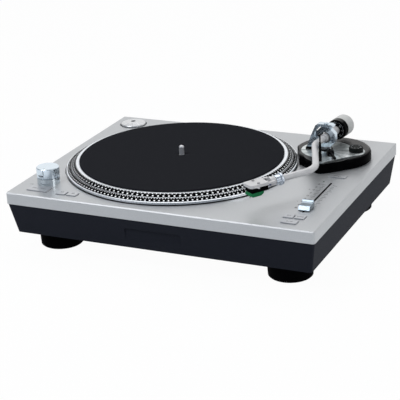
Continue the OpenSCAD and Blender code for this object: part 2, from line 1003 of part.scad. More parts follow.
module arm_block() {
  color([0.88, 0.88, 0.88])
  at_arm()
    difference() {
      union() {
        translate([-block_l, 0, 0])
          along(block_r, 2 * block_l);
        translate([dial_front + move_gap, 0, 0])
          along(6, -dial_front);
        translate([weight_back - 1, 0, 0])
          along(shaft_r, -weight_back);
      }
      translate([5, 0, 0])
        along(tube_r, 20);
      for (s = [-1, 1])
        translate([0, s * 4.5, 0])
          rotate([-90 * s, 0, 0])
            cylinder(r = pin_r + run_gap, h = 10);
    }
}

// points of a ring of the tube about a place on its path, square to the heading there
function tube_loop(c, h, r) = [for (i = [0 : tube_n - 1])
  let (t = 360 * i / tube_n)
  [c[0] - r * cos(t) * sin(h), c[1] + r * cos(t) * cos(h), r * sin(t)]];

function tube_side(from, k, i) = [from + k * tube_n + i, from + k * tube_n + (i + 1) % tube_n,
  from + (k + 1) * tube_n + (i + 1) % tube_n, from + (k + 1) * tube_n + i];

function flip(f) = [f[3], f[2], f[1], f[0]];

module arm_tube() {
  steps_1 = 9;
  steps_2 = 18;
  path = concat([[[5, 0], 0]],
    [for (i = [0 : steps_1])
      let (h = bend_1 * i / steps_1)
      [[run_1 + turn_1 * sin(h), turn_1 * (1 - cos(h))], h]],
    [for (i = [0 : steps_2])
      let (h = bend_1 - bend_2 * i / steps_2)
      [c2 + turn_2 * [-sin(h), cos(h)], h]],
    [[p5, head]]);
  last = len(path) - 1;
  inner = len(path) * tube_n;
  points = [for (r = [tube_r, tube_r - tube_wall], q = path) each tube_loop(q[0], q[1], r)];
  faces = concat(
    [for (k = [0 : last - 1], i = [0 : tube_n - 1]) flip(tube_side(0, k, i))],
    [for (k = [0 : last - 1], i = [0 : tube_n - 1]) tube_side(inner, k, i)],
    [for (i = [0 : tube_n - 1]) [i, (i + 1) % tube_n, inner + (i + 1) % tube_n, inner + i]],
    [for (i = [0 : tube_n - 1]) flip([last * tube_n + i, last * tube_n + (i + 1) % tube_n,
      inner + last * tube_n + (i + 1) % tube_n, inner + last * tube_n + i])]);
  color([0.9, 0.9, 0.9])
  at_arm()
    polyhedron(points, faces, convexity = 6);
}

module lock_collar() {
  color([0.82, 0.82, 0.83])
  at_head()
    difference() {
      union() {
        translate([-2, 0, 0])
          along(8.4, 3.4);
        translate([1, 0, 0])
          along(6.6, 8);
      }
      translate([-3, 0, 0])
        along(tube_r + move_gap, 20);
    }
}

module headshell() {
  color([0.9, 0.9, 0.9])
  at_head()
    difference() {
      union() {
        along(tube_r, 18);
        translate([9.3, 0, 0])
          along(6.2, 8);
        translate([0, 0, shell_low])
          linear_extrude(shell_top - shell_low)
            polygon([[24, -10], [49, -10], [52, -7.5], [52, 7.5], [49, 10], [24, 10]]);
        translate([0, 0, rail_z])
          linear_extrude(rail_t)
            polygon([[12.5, -8], [15, -10], [25, -10], [25, 10], [15, 10], [12.5, 8]]);
        translate([47, 9, 2.2])
          rotate([-78, 0, 0])
            cylinder(r = 0.9, h = 13);
      }
      translate([21, -8, -6])
        cube([29, 16, 6 + seat_z]);
      translate([17.6, -7, -6])
        cube([6.2, 14, 16]);
      for (s = [-1, 1])
        translate([38, s * 6.35, -1])
          cylinder(r = 1, h = 10);
    }
}

module cartridge() {
  color([0.06, 0.06, 0.07])
  at_head()
    difference() {
      union() {
        translate([24, -7.8, cart_z])
          cube([25, 15.6, seat_z - cart_z]);
        translate([22, -5, -5])
          cube([3, 10, 5]);
      }
      for (s = [-1, 1])
        translate([38, s * 6.35, -3])
          cylinder(r = 1, h = 10);
    }
}

module stylus() {
  color([0.08, 0.5, 0.3])
  at_head() {
    rotate([90, 0, 0])
      translate([0, 0, -6.5])
        linear_extrude(13)
          polygon([[30, cart_z], [49, cart_z], [50.5, cart_z - 1.5], [50.5, cart_z - 4], [47, cart_z - 6],
          [34, cart_z - 6], [30, cart_z - 3]]);
    translate([47.5, 0, cart_z - 8.5])
      cylinder(r1 = 0.3, r2 = 0.8, h = 3.5);
  }
}

module cartridge_screws() {
  color([0.7, 0.7, 0.72])
  at_head()
    for (s = [-1, 1])
      translate([38, s * 6.35, -3]) {
        cylinder(r = 1, h = 3 + shell_top + e);
        translate([0, 0, 3 + shell_top])
          cylinder(r = 1.9, h = 1.3);
      }
}

module force_dial() {
  color([0.05, 0.05, 0.06])
  at_arm()
    rotate([0, 90, 0])
      rotate_extrude($fn = 96)
        polygon([[shaft_r + move_gap, weight_front + move_gap], [weight_r - 0.2, weight_front + move_gap],
          [weight_r - 0.2, dial_front - 2], [weight_r - 2.5, dial_front], [shaft_r + move_gap, dial_front]]);
}

module counterweight() {
  color([0.86, 0.86, 0.85])
  at_arm()
    rotate([0, 90, 0])
      rotate_extrude($fn = 96)
        polygon([[shaft_r + move_gap, weight_back], [weight_r - 2.6, weight_back],
          [weight_r - 0.8, weight_back + 0.8], [weight_r, weight_back + 2.6], [weight_r, weight_front],
          [shaft_r + move_gap, weight_front]]);
}

// the sockets at the rear

module phono_sockets() {
  color([0.8, 0.8, 0.82])
  for (x = phono_x)
    translate([x, jack_y, jack_z])
      rotate([-90, 0, 0])
        difference() {
          union() {
            translate([0, 0, -7])
              cylinder(r = phono_r, h = 17);
            cylinder(r = 6, h = 1.6);
          }
          translate([0, 0, 1])
            cylinder(r = 1.6, h = 20);
        }
}

module ground_post() {
  color([0.75, 0.75, 0.77])
  translate([ground_x, jack_y, jack_z])
    rotate([-90, 0, 0]) {
      translate([0, 0, -8])
        cylinder(r = 2, h = 18);
      cylinder(r = 5, h = 1.5);
      translate([0, 0, 3.5])
        cylinder(r = 4.6, h = 5);
    }
}

module mains_inlet() {
  color([0.08, 0.08, 0.09])
  translate([inlet_x, jack_y, jack_z]) {
    difference() {
      union() {
        translate([-inlet_w / 2, -14, -inlet_h / 2])
          cube([inlet_w, 15, inlet_h]);
        translate([-inlet_w / 2 - 2, 0, -inlet_h / 2 - 2])
          cube([inlet_w + 4, 2, inlet_h + 4]);
      }
      translate([-9.5, -9, -4.5])
        cube([19, 20, 9]);
    }
    for (s = [-1, 1])
      translate([s * 4.3, -10, 0])
        rotate([-90, 0, 0])
          cylinder(r = 1.2, h = 9);
  }
}

deck_top();
base_shell();
bottom_plate();
case_screws();
feet();
foot_screws();
bearing_sleeve();
stator_board();
stator_coils();
main_board();
transformer();
board_posts();
fader_body();
switch_boards();
strobe_tower();
strobe_lens();
power_switch();
arm_base();
arm_plate();
arm_disc();
arm_bridge();
arm_screws();
pivot_sleeve();
arm_rest();
cue_bracket();
phono_sockets();
ground_post();
mains_inlet();
platter();
slip_mat();
spindle();
rotor_magnet();
power_knob();
start_button();
speed_low_button();
speed_high_button();
range_button();
reverse_button();
lock_button();
reset_button();
slider_cap();
slider_stem();
gimbal_ring();
gimbal_pins();
arm_block();
arm_tube();
headshell();
cartridge();
stylus();
cartridge_screws();
lock_collar();
force_dial();
counterweight();
skate_knob();
cue_lever();
lift_bar();
rest_latch();
adapter();
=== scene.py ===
# %% [markdown]
# A record turntable: a silver metal deck on a charcoal case, a heavy platter with strobe dots on its
# rim, a felt mat and an S-shaped tonearm. The solids of the part come in first and stay where they are.
# Everything made below is a finish for them or a small piece that sits on them.

# %% Load the solids
import json
import math

import bmesh
import bpy
from mathutils import Matrix, Vector


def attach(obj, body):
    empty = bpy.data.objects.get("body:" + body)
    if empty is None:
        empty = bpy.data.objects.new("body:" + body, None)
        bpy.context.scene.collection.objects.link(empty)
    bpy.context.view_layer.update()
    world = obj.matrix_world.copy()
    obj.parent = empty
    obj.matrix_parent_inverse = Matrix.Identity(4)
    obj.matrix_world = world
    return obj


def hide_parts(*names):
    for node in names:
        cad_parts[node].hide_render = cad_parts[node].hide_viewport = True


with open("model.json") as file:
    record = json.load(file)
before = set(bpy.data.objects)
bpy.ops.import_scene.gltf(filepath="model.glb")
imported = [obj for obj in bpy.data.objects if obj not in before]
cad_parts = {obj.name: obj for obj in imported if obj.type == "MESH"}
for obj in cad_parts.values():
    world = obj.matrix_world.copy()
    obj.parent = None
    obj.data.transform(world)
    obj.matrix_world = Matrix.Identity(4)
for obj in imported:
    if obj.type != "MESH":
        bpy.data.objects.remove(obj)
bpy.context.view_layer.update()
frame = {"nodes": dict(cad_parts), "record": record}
nodes = frame["nodes"]

# %% [markdown]
# The camera stands low at the front right, as a product photographer does to show the deck and the arm.
# Its place was solved from the corners of the deck, so it is written as a target, two angles, a small
# roll and a distance. A long lens keeps the far corner from shrinking.

# %% Camera
LOOK_AT = Vector((0.04344, -0.12081, 0.087))
AZIMUTH, ELEVATION, ROLL = (math.radians(a) for a in (25.345, 21.267, -2.699))
CAMERA_AWAY = 1.7693
LENS_MM = 119.72

back = Vector((math.sin(AZIMUTH) * math.cos(ELEVATION), -math.cos(AZIMUTH) * math.cos(ELEVATION),
               math.sin(ELEVATION)))
level_right = Vector((math.cos(AZIMUTH), math.sin(AZIMUTH), 0))
level_up = back.cross(level_right)
right = math.cos(ROLL) * level_right + math.sin(ROLL) * level_up
up = back.cross(right)
lens = bpy.data.cameras.new("camera")
lens.sensor_width = 36
lens.lens = LENS_MM
lens.clip_end = 20
camera = bpy.data.objects.new("camera", lens)
turned_camera = Matrix((right, up, back)).transposed().to_4x4()
camera.matrix_world = Matrix.Translation(LOOK_AT + back * CAMERA_AWAY) @ turned_camera
bpy.context.scene.collection.objects.link(camera)
bpy.context.scene.camera = camera
print("camera at", tuple(round(c, 3) for c in camera.matrix_world.translation))

# %% [markdown]
# A catalogue picture has a white ground that fades into a white wall. One bent sheet does both: a floor
# that curves up behind. The helper for node materials comes first, because every finish below uses it.

# %% Floor and backdrop
def node_material(name):
    material = bpy.data.materials.new(name)
    material.use_nodes = True
    tree = material.node_tree
    shader = next(n for n in tree.nodes if n.type == "BSDF_PRINCIPLED")
    return material, tree, shader


def sweep_sheet(name, profile, half_width):
    verts = [(x, y, z) for y, z in profile for x in (-half_width, half_width)]
    faces = [(2 * i, 2 * i + 1, 2 * i + 3, 2 * i + 2) for i in range(len(profile) - 1)]
    mesh = bpy.data.meshes.new(name)
    mesh.from_pydata(verts, [], faces)
    mesh.polygons.foreach_set("use_smooth", [True] * len(faces))
    sheet = bpy.data.objects.new(name, mesh)
    bpy.context.scene.collection.objects.link(sheet)
    return sheet


BEND_START, BEND_R, WALL_TOP = 2.6, 1.2, 4.5
floor_line = [(-5.0, 0.0), (BEND_START, 0.0)]
floor_line += [(BEND_START + BEND_R * math.sin(math.radians(a)), BEND_R * (1 - math.cos(math.radians(a))))
               for a in range(6, 91, 6)]
floor_line += [(BEND_START + BEND_R, WALL_TOP)]
backdrop = sweep_sheet("backdrop", floor_line, 6.0)
print("backdrop", len(backdrop.data.polygons), "strips")

# %% [markdown]
# The paper's own colour is pale, so a soft shadow stays under the feet. The camera sees it almost white.
# Metal mirrors it by where it lies: cool in front of the product, a little grey beside and behind it, and
# white at the wall. That gives the front of the deck its bluish silver.

# %% Studio paper
GLOW_SHARE = 0.97
COOL, PALE_GREY, WHITE = (0.88, 0.93, 1.0, 1), (0.86, 0.87, 0.88, 1), (1, 1, 1, 1)
paper, tree, shader = node_material("studio_paper")
link = tree.links.new
shader.inputs["Base Color"].default_value = (0.86, 0.86, 0.86, 1)
shader.inputs["Roughness"].default_value = 0.9
spot = tree.nodes.new("ShaderNodeTexCoord")
spot_parts = tree.nodes.new("ShaderNodeSeparateXYZ")
depth = tree.nodes.new("ShaderNodeMapRange")
depth.inputs["From Min"].default_value, depth.inputs["From Max"].default_value = -1.0, BEND_START + 0.4
tone = tree.nodes.new("ShaderNodeValToRGB")
tone.color_ramp.elements[0].color = COOL
tone.color_ramp.elements.new(0.3).color = PALE_GREY
tone.color_ramp.elements.new(0.8).color = PALE_GREY
tone.color_ramp.elements[-1].color = WHITE
ray = tree.nodes.new("ShaderNodeLightPath")
mirrored = tree.nodes.new("ShaderNodeMix")
mirrored.data_type = "RGBA"
mirrored.inputs[6].default_value = WHITE
glow = tree.nodes.new("ShaderNodeEmission")
glow.inputs["Strength"].default_value = 1.0
seen = tree.nodes.new("ShaderNodeMath")
seen.operation = "MAXIMUM"
share = tree.nodes.new("ShaderNodeMath")
share.operation = "MULTIPLY"
share.inputs[1].default_value = GLOW_SHARE
blend = tree.nodes.new("ShaderNodeMixShader")
link(spot.outputs["Object"], spot_parts.inputs[0])
link(spot_parts.outputs["Y"], depth.inputs["Value"])
link(depth.outputs["Result"], tone.inputs["Fac"])
link(ray.outputs["Is Glossy Ray"], mirrored.inputs[0])
link(tone.outputs["Color"], mirrored.inputs[7])
link(mirrored.outputs[2], glow.inputs["Color"])
link(ray.outputs["Is Camera Ray"], seen.inputs[0])
link(ray.outputs["Is Glossy Ray"], seen.inputs[1])
link(seen.outputs[0], share.inputs[0])
link(share.outputs[0], blend.inputs[0])
link(shader.outputs[0], blend.inputs[1])
link(glow.outputs[0], blend.inputs[2])
link(blend.outputs[0], tree.nodes["Material Output"].inputs["Surface"])
backdrop.data.materials.append(paper)
print("paper nodes", len(tree.nodes))

# %% [markdown]
# Soft boxes light a silver product best: a broad one overhead for the deck, one at the right that
# lifts the right-hand side above the front, and one at the front left for the streaks on knob and cap.
# The room behind the camera is darker and blue, behind the product it is white, and metal shows both.

# %% Soft lights
ROOM_BLUE, ROOM_WHITE = (0.26, 0.32, 0.40, 1), (0.95, 0.97, 1.0, 1)
scene = bpy.context.scene
scene.view_settings.view_transform = "Standard"
world = bpy.data.worlds.new("studio")
scene.world = world
world.use_nodes = True
sky = world.node_tree.nodes["Background"]
sky.inputs["Strength"].default_value = 0.5
way = world.node_tree.nodes.new("ShaderNodeTexCoord")
parts = world.node_tree.nodes.new("ShaderNodeSeparateXYZ")
room = world.node_tree.nodes.new("ShaderNodeValToRGB")
room.color_ramp.elements[0].position = 0.25
room.color_ramp.elements[0].color = ROOM_BLUE
room.color_ramp.elements[1].position = 0.60
room.color_ramp.elements[1].color = ROOM_WHITE
half = world.node_tree.nodes.new("ShaderNodeMath")
half.operation = "MULTIPLY_ADD"
half.inputs[1].default_value = half.inputs[2].default_value = 0.5
world.node_tree.links.new(way.outputs["Generated"], parts.inputs[0])
world.node_tree.links.new(parts.outputs["Y"], half.inputs[0])
world.node_tree.links.new(half.outputs[0], room.inputs["Fac"])
world.node_tree.links.new(room.outputs["Color"], sky.inputs["Color"])


def soft_box(name, place, aim, size, watts, colour=(1, 1, 1)):
    lamp = bpy.data.lights.new(name, "AREA")
    lamp.shape = "RECTANGLE"
    lamp.size, lamp.size_y = size
    lamp.energy = watts
    lamp.color = colour
    box = bpy.data.objects.new(name, lamp)
    box.location = place
    box.rotation_euler = (Vector(aim) - Vector(place)).to_track_quat("-Z", "Y").to_euler()
    scene.collection.objects.link(box)


soft_box("overhead_box", (-0.3, 0.5, 1.9), (0, 0, 0.08), (1.8, 1.4), 14)
soft_box("right_box", (1.9, -0.4, 0.9), (0, 0, 0.06), (0.5, 1.0), 5.5)
soft_box("front_left_box", (-0.85, -1.15, 1.75), (0.05, -0.1, 0.09), (0.9, 0.9), 17, (0.97, 0.98, 1))

# %% [markdown]
# Every finish here is a base colour that wanders a little, a roughness that wanders with it and a fine
# grain in the height. One helper makes that from a single noise, read in the part's own metres, so the
# grain has the same size on every piece. Stretching the noise along one way turns grain into layers.

# %% Grained finishes
GRAIN_LOW, GRAIN_HIGH, GRAIN_TALL = 0.3, 0.7, 0.0002


def grained(name, colour, other, grain, rough, metal=0.0, bump=0.1, stretch=(1, 1, 1), coat=0.0, gloss=0.5):
    material, tree, shader = node_material(name)
    place = tree.nodes.new("ShaderNodeTexCoord")
    scale = tree.nodes.new("ShaderNodeMapping")
    scale.inputs["Scale"].default_value = stretch
    noise = tree.nodes.new("ShaderNodeTexNoise")
    noise.inputs["Scale"].default_value = grain
    noise.inputs["Detail"].default_value = 4
    ramp = tree.nodes.new("ShaderNodeValToRGB")
    ramp.color_ramp.elements[0].position = GRAIN_LOW
    ramp.color_ramp.elements[1].position = GRAIN_HIGH
    ramp.color_ramp.elements[0].color = (*colour, 1)
    ramp.color_ramp.elements[1].color = (*other, 1)
    dull = tree.nodes.new("ShaderNodeMapRange")
    dull.inputs["From Min"].default_value, dull.inputs["From Max"].default_value = GRAIN_LOW, GRAIN_HIGH
    dull.inputs["To Min"].default_value, dull.inputs["To Max"].default_value = rough
    height = tree.nodes.new("ShaderNodeBump")
    height.inputs["Strength"].default_value = bump
    height.inputs["Distance"].default_value = GRAIN_TALL
    link = tree.links.new
    link(place.outputs["Object"], scale.inputs["Vector"])
    link(scale.outputs["Vector"], noise.inputs["Vector"])
    link(noise.outputs["Fac"], ramp.inputs["Fac"])
    link(noise.outputs["Fac"], dull.inputs["Value"])
    link(noise.outputs["Fac"], height.inputs["Height"])
    link(ramp.outputs["Color"], shader.inputs["Base Color"])
    link(dull.outputs["Result"], shader.inputs["Roughness"])
    link(height.outputs["Normal"], shader.inputs["Normal"])
    shader.inputs["Metallic"].default_value = metal
    shader.inputs["Coat Weight"].default_value = coat
    shader.inputs["Specular IOR Level"].default_value = gloss
    return material


print("grain between", GRAIN_LOW, "and", GRAIN_HIGH, "of the noise")

# %% [markdown]
# The paints, plastics and rubber of the part. Each line gives two colours to wander between, the grain, the
# range of roughness, how metallic it is and how tall the grain stands. A low gloss keeps black parts black.

# %% Paints and plastics
deck_paint = grained("deck_paint", (0.50, 0.51, 0.52), (0.56, 0.57, 0.58), 900, (0.32, 0.40), 0.62, 0.05)
button_paint = grained("button_paint", (0.52, 0.53, 0.55), (0.58, 0.59, 0.61), 900, (0.30, 0.38), 0.62, 0.04)
plate_paint = grained("plate_paint", (0.03, 0.03, 0.032), (0.04, 0.04, 0.042), 400, (0.45, 0.6), 0.2, 0.1)
arm_enamel = grained("arm_enamel", (0.63, 0.62, 0.62), (0.67, 0.66, 0.66), 120, (0.28, 0.36), 0.15, 0.0,
                     coat=0.2)
weight_grey = grained("weight_grey", (0.58, 0.58, 0.56), (0.63, 0.63, 0.61), 150, (0.35, 0.45), 0.1, 0.0)
case_plastic = grained("case_plastic", (0.0140, 0.0160, 0.0230), (0.0175, 0.0195, 0.0275), 700,
                       (0.52, 0.64), 0, 0.1, gloss=0.05)
dark_plastic = grained("dark_plastic", (0.0040, 0.0040, 0.0046), (0.0065, 0.0065, 0.0072), 800,
                       (0.35, 0.5), 0, 0.15, gloss=0.06)
base_black = grained("base_black", (0.0014, 0.0014, 0.0018), (0.0022, 0.0022, 0.0026), 60,
                     (0.25, 0.30), 0, 0.0, gloss=0.008)
knob_black = grained("knob_black", (0.0045, 0.0060, 0.0058), (0.0065, 0.0085, 0.0080), 900,
                     (0.45, 0.55), 0, 0.1, gloss=0.08)
foot_rubber = grained("foot_rubber", (0.0016, 0.0016, 0.0020), (0.0026, 0.0026, 0.0030), 500,
                      (0.60, 0.80), 0, 0.1, gloss=0.01)
board_green = grained("board_green", (0.010, 0.075, 0.025), (0.014, 0.10, 0.035), 350, (0.35, 0.5), 0, 0.1)
stylus_green = grained("stylus_green", (0.004, 0.17, 0.055), (0.006, 0.22, 0.072), 400, (0.40, 0.50), 0, 0.03,
                       gloss=0.2)
lens_red = grained("lens_red", (0.50, 0.012, 0.008), (0.62, 0.018, 0.012), 300, (0.08, 0.14), 0, 0.02, coat=0.5)
print("finishes", len(bpy.data.materials))

# %% [markdown]
# The metals and the plated plastics. A little blue in chrome and plating sets them apart from plain steel.
# The windings and the iron core have their grain stretched into layers.

# %% Metals
screw_steel = grained("screw_steel", (0.30, 0.30, 0.31), (0.40, 0.40, 0.41), 1500, (0.3, 0.4), 1, 0.05)
pin_steel = grained("pin_steel", (0.55, 0.55, 0.57), (0.66, 0.66, 0.68), 1500, (0.18, 0.28), 1, 0.03)
spindle_steel = grained("spindle_steel", (0.60, 0.60, 0.62), (0.70, 0.70, 0.72), 1500, (0.30, 0.40), 0.45, 0.03)
bronze = grained("bronze", (0.45, 0.30, 0.10), (0.52, 0.36, 0.13), 900, (0.3, 0.4), 1, 0.05)
coil_copper = grained("coil_copper", (0.46, 0.16, 0.06), (0.58, 0.22, 0.09), 2500, (0.25, 0.4), 1, 0.3,
                      stretch=(1, 1, 8))
core_iron = grained("core_iron", (0.05, 0.05, 0.052), (0.08, 0.08, 0.082), 600, (0.5, 0.7), 0.8, 0.3,
                    stretch=(1, 1, 9))
magnet_grey = grained("magnet_grey", (0.025, 0.025, 0.027), (0.04, 0.04, 0.042), 500, (0.5, 0.7), 0.3, 0.2)
platter_metal = grained("platter_metal", (0.84, 0.87, 0.91), (0.90, 0.93, 0.97), 700, (0.24, 0.34), 0.9, 0.03)
chrome = grained("chrome", (0.66, 0.75, 0.82), (0.70, 0.79, 0.86), 60, (0.11, 0.16), 0.92, 0.0)
collar_silver = grained("collar_silver", (0.60, 0.65, 0.72), (0.66, 0.71, 0.78), 300, (0.22, 0.30), 0.8, 0.02)
silver_plastic = grained("silver_plastic", (0.84, 0.91, 0.95), (0.88, 0.95, 0.98), 40, (0.20, 0.25), 0.85, 0.0)
knob_silver = grained("knob_silver", (0.74, 0.83, 0.90), (0.78, 0.87, 0.94), 40, (0.20, 0.25), 0.88, 0.0)
slider_silver = grained("slider_silver", (0.25, 0.30, 0.34), (0.29, 0.34, 0.38), 60, (0.27, 0.33), 1, 0.0)
print("finishes", len(bpy.data.materials))

# %% [markdown]
# Two finishes follow how a face leans, read from the height of its normal: 0 on a wall, 1 on a top. Paint on
# the bevelled edge of the deck is a little more matt than on its flats. The black base of the arm has a
# polished top that mirrors the room, and moulded sides that don't.

# %% Finishes that follow the lean
EDGE_LEVELS = ((0, 0), (0.20, 0), (0.35, 1), (0.90, 1), (1, 0))
EDGE_MORE_ROUGH = 0.10
SIDE_GLOSS, TOP_GLOSS = 0.008, 0.20
TOP_LEVELS = ((0, SIDE_GLOSS), (0.75, SIDE_GLOSS), (0.95, TOP_GLOSS), (1, TOP_GLOSS))


def first_node(material, kind):
    return next(n for n in material.node_tree.nodes if n.type == kind)


def by_lean(material, levels):
    tree = material.node_tree
    split = tree.nodes.new("ShaderNodeSeparateXYZ")
    ramp = tree.nodes.new("ShaderNodeValToRGB")
    ramp.color_ramp.elements[0].color = (*[levels[0][1]] * 3, 1)
    ramp.color_ramp.elements[1].color = (*[levels[-1][1]] * 3, 1)
    for position, level in levels[1:-1]:
        ramp.color_ramp.elements.new(position).color = (level, level, level, 1)
    tree.links.new(first_node(material, "TEX_COORD").outputs["Normal"], split.inputs[0])
    tree.links.new(split.outputs["Z"], ramp.inputs["Fac"])
    return ramp.outputs["Color"]


tree = deck_paint.node_tree
rougher = tree.nodes.new("ShaderNodeMath")
rougher.operation = "MULTIPLY_ADD"
rougher.inputs[1].default_value = EDGE_MORE_ROUGH
tree.links.new(by_lean(deck_paint, EDGE_LEVELS), rougher.inputs[0])
tree.links.new(first_node(deck_paint, "MAP_RANGE").outputs["Result"], rougher.inputs[2])
tree.links.new(rougher.outputs[0], first_node(deck_paint, "BSDF_PRINCIPLED").inputs["Roughness"])
base_black.node_tree.links.new(by_lean(base_black, TOP_LEVELS),
                               first_node(base_black, "BSDF_PRINCIPLED").inputs["Specular IOR Level"])
print("deck edges and base top follow the lean")

# %% [markdown]
# The disc and plate under the arm and the centre adapter are turned on a lathe. Light on turned metal
# gathers into streaks that run out from the centre, because each fine groove is a ring. Here the streaks are
# painted highlight and shade in the base colour: they follow the angle about the centre, so the angle goes into
# the noise, and the grooves themselves follow the radius as a fine bump.

# %% Turned metal with painted streaks
PIVOT = Vector((0.1503, 0.0813, 0.121))
ADAPTER = Vector((-0.192, 0.146, 0.0))
PAINTED_STREAKS_PER_RADIAN, GROOVES_PER_METRE = 4.5, 2600


def turned(name, centre, dark, bright, rough):
    material, tree, shader = node_material(name)
    link = tree.links.new
    place = tree.nodes.new("ShaderNodeTexCoord")
    shift = tree.nodes.new("ShaderNodeVectorMath")
    shift.operation = "SUBTRACT"
    shift.inputs[1].default_value = (centre.x, centre.y, 0)
    split = tree.nodes.new("ShaderNodeSeparateXYZ")
    angle = tree.nodes.new("ShaderNodeMath")
    angle.operation = "ARCTAN2"
    flat = tree.nodes.new("ShaderNodeVectorMath")
    flat.operation = "MULTIPLY"
    flat.inputs[1].default_value = (1, 1, 0)
    radius = tree.nodes.new("ShaderNodeVectorMath")
    radius.operation = "LENGTH"
    polar = tree.nodes.new("ShaderNodeCombineXYZ")
    painted_streak = tree.nodes.new("ShaderNodeTexNoise")
    painted_streak.inputs["Scale"].default_value = PAINTED_STREAKS_PER_RADIAN
    painted_streak.inputs["Detail"].default_value = 5
    groove = tree.nodes.new("ShaderNodeTexNoise")
    groove.noise_dimensions = "1D"
    groove.inputs["Scale"].default_value = GROOVES_PER_METRE
    # The ramp paints the streaks into the base colour: dark is painted shade, bright is painted highlight.
    ramp = tree.nodes.new("ShaderNodeValToRGB")
    ramp.color_ramp.elements[0].position = 0.38
    ramp.color_ramp.elements[1].position = 0.62
    ramp.color_ramp.elements[0].color = (*dark, 1)
    ramp.color_ramp.elements[1].color = (*bright, 1)
    height = tree.nodes.new("ShaderNodeBump")
    height.inputs["Strength"].default_value = 0.12
    height.inputs["Distance"].default_value = GRAIN_TALL
    link(place.outputs["Object"], shift.inputs[0])
    link(shift.outputs[0], split.inputs[0])
    link(shift.outputs[0], flat.inputs[0])
    link(flat.outputs[0], radius.inputs[0])
    link(split.outputs["Y"], angle.inputs[0])
    link(split.outputs["X"], angle.inputs[1])
    link(angle.outputs[0], polar.inputs["X"])
    link(radius.outputs["Value"], polar.inputs["Y"])
    link(polar.outputs[0], painted_streak.inputs["Vector"])
    link(radius.outputs["Value"], groove.inputs["W"])
    link(painted_streak.outputs["Fac"], ramp.inputs["Fac"])
    link(groove.outputs["Fac"], height.inputs["Height"])
    link(ramp.outputs["Color"], shader.inputs["Base Color"])
    link(height.outputs["Normal"], shader.inputs["Normal"])
    shader.inputs["Metallic"].default_value = 0.85
    shader.inputs["Roughness"].default_value = rough
    return material


# The two colours of each call are the painted shade and painted highlight of its streaks.
turned_arm = turned("turned_arm", PIVOT, (0.36, 0.40, 0.40), (0.86, 0.90, 0.90), 0.34)
turned_adapter = turned("turned_adapter", ADAPTER, (0.62, 0.63, 0.64), (0.80, 0.81, 0.82), 0.28)
print("turned finishes about the arm's pivot and the adapter")

# %% [markdown]
# Each solid takes the finish that the record names for its material, so a list of solids isn't needed. A
# few differ from their neighbours of the same material: the buttons are painted like the deck, the slider's
# cap is a darker plating than the knob, and the sleeve under the arm's pivot is made dark as painted shade, for
# the shadow under the bearing. They get their own finish afterwards, by name. The mat's solid gives way to a
# felt sheet further down, so its finish doesn't show.

# %% Dress the solids
FINISHES = {
    "deck": deck_paint, "case": case_plastic, "plate": plate_paint, "screw": screw_steel, "rubber": foot_rubber,
    "bronze": bronze, "board": board_green, "copper": coil_copper, "iron": core_iron,
    "dark_plastic": dark_plastic, "silver_plastic": silver_plastic, "lens": lens_red, "base_black": base_black,
    "turned_metal": turned_arm, "chrome": chrome, "steel": pin_steel, "platter_metal": platter_metal,
    "magnet": magnet_grey, "arm_silver": arm_enamel, "cartridge_black": base_black,
    "stylus_green": stylus_green, "weight_grey": weight_grey, "felt": dark_plastic}
for row in frame["record"]["subparts"]:
    solid = nodes[row["node"]]
    solid.data.materials.clear()
    solid.data.materials.append(FINISHES[row["material_slot"]])
BUTTONS = ("start", "speed_low", "speed_high", "range", "reverse", "lock", "reset")
# The pivot sleeve takes dark plastic as painted shade: it paints the shadow that falls under the gimbal.
OWN_FINISH = {
    "adapter": turned_adapter, "slider_cap": slider_silver, "skate_knob": knob_black, "spindle": spindle_steel,
    "power_knob": knob_silver, "pivot_sleeve": dark_plastic, "lock_collar": collar_silver,
    **{f"{button}_button": button_paint for button in BUTTONS}}
for name, finish in OWN_FINISH.items():
    nodes[name].data.materials[0] = finish
print("dressed", len(nodes), "solids,", len(OWN_FINISH), "with a finish of their own")

# %% [markdown]
# No made edge is perfectly sharp. Pressed, cast and plated parts have a small round on every edge, and the
# bright line that it draws is how the eye reads their shape. A bevel modifier adds it without touching
# the solid's own points: a weld joins its triangles first, so that flat faces stay flat.

# %% Soft edges
EDGE_ROUND = {
    "arm_plate": 0.0007, "arm_disc": 0.0005, "headshell": 0.0008, "lock_collar": 0.0005, "cartridge": 0.0005,
    "stylus": 0.0006, "arm_bridge": 0.0007, "gimbal_ring": 0.0006, "slider_cap": 0.0003, "arm_rest": 0.0004,
    "cue_lever": 0.0003, "cue_bracket": 0.0003, "arm_base": 0.0008}
SHARP = math.radians(30)
for name, width in EDGE_ROUND.items():
    weld = nodes[name].modifiers.new("weld", "WELD")
    weld.merge_threshold = 1e-6
    rounded = nodes[name].modifiers.new("soft_edge", "BEVEL")
    rounded.width, rounded.segments = width, 2
    rounded.limit_method, rounded.angle_limit = "ANGLE", SHARP
print("soft edges on", len(EDGE_ROUND), "solids")

# %% [markdown]
# Every piece below rides on a body of the part and takes a finish. It comes from
# a list of points and faces, or from an editable mesh, called a sheet here, whose doubled points are joined
# first. A turned sheet is a line that is spun about an axis. A bar of any path is a row of loops with a skin
# between them.

# %% Ways to make a piece
JOIN = 1e-6


def add_piece(name, mesh, material, body):
    mesh.materials.append(material)
    piece = bpy.data.objects.new(name, mesh)
    scene.collection.objects.link(piece)
    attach(piece, body)
    return piece


def points_piece(name, verts, faces, material, body, smooth=True):
    mesh = bpy.data.meshes.new(name)
    mesh.from_pydata([tuple(v) for v in verts], [], faces)
    mesh.polygons.foreach_set("use_smooth", [smooth] * len(faces))
    return add_piece(name, mesh, material, body)


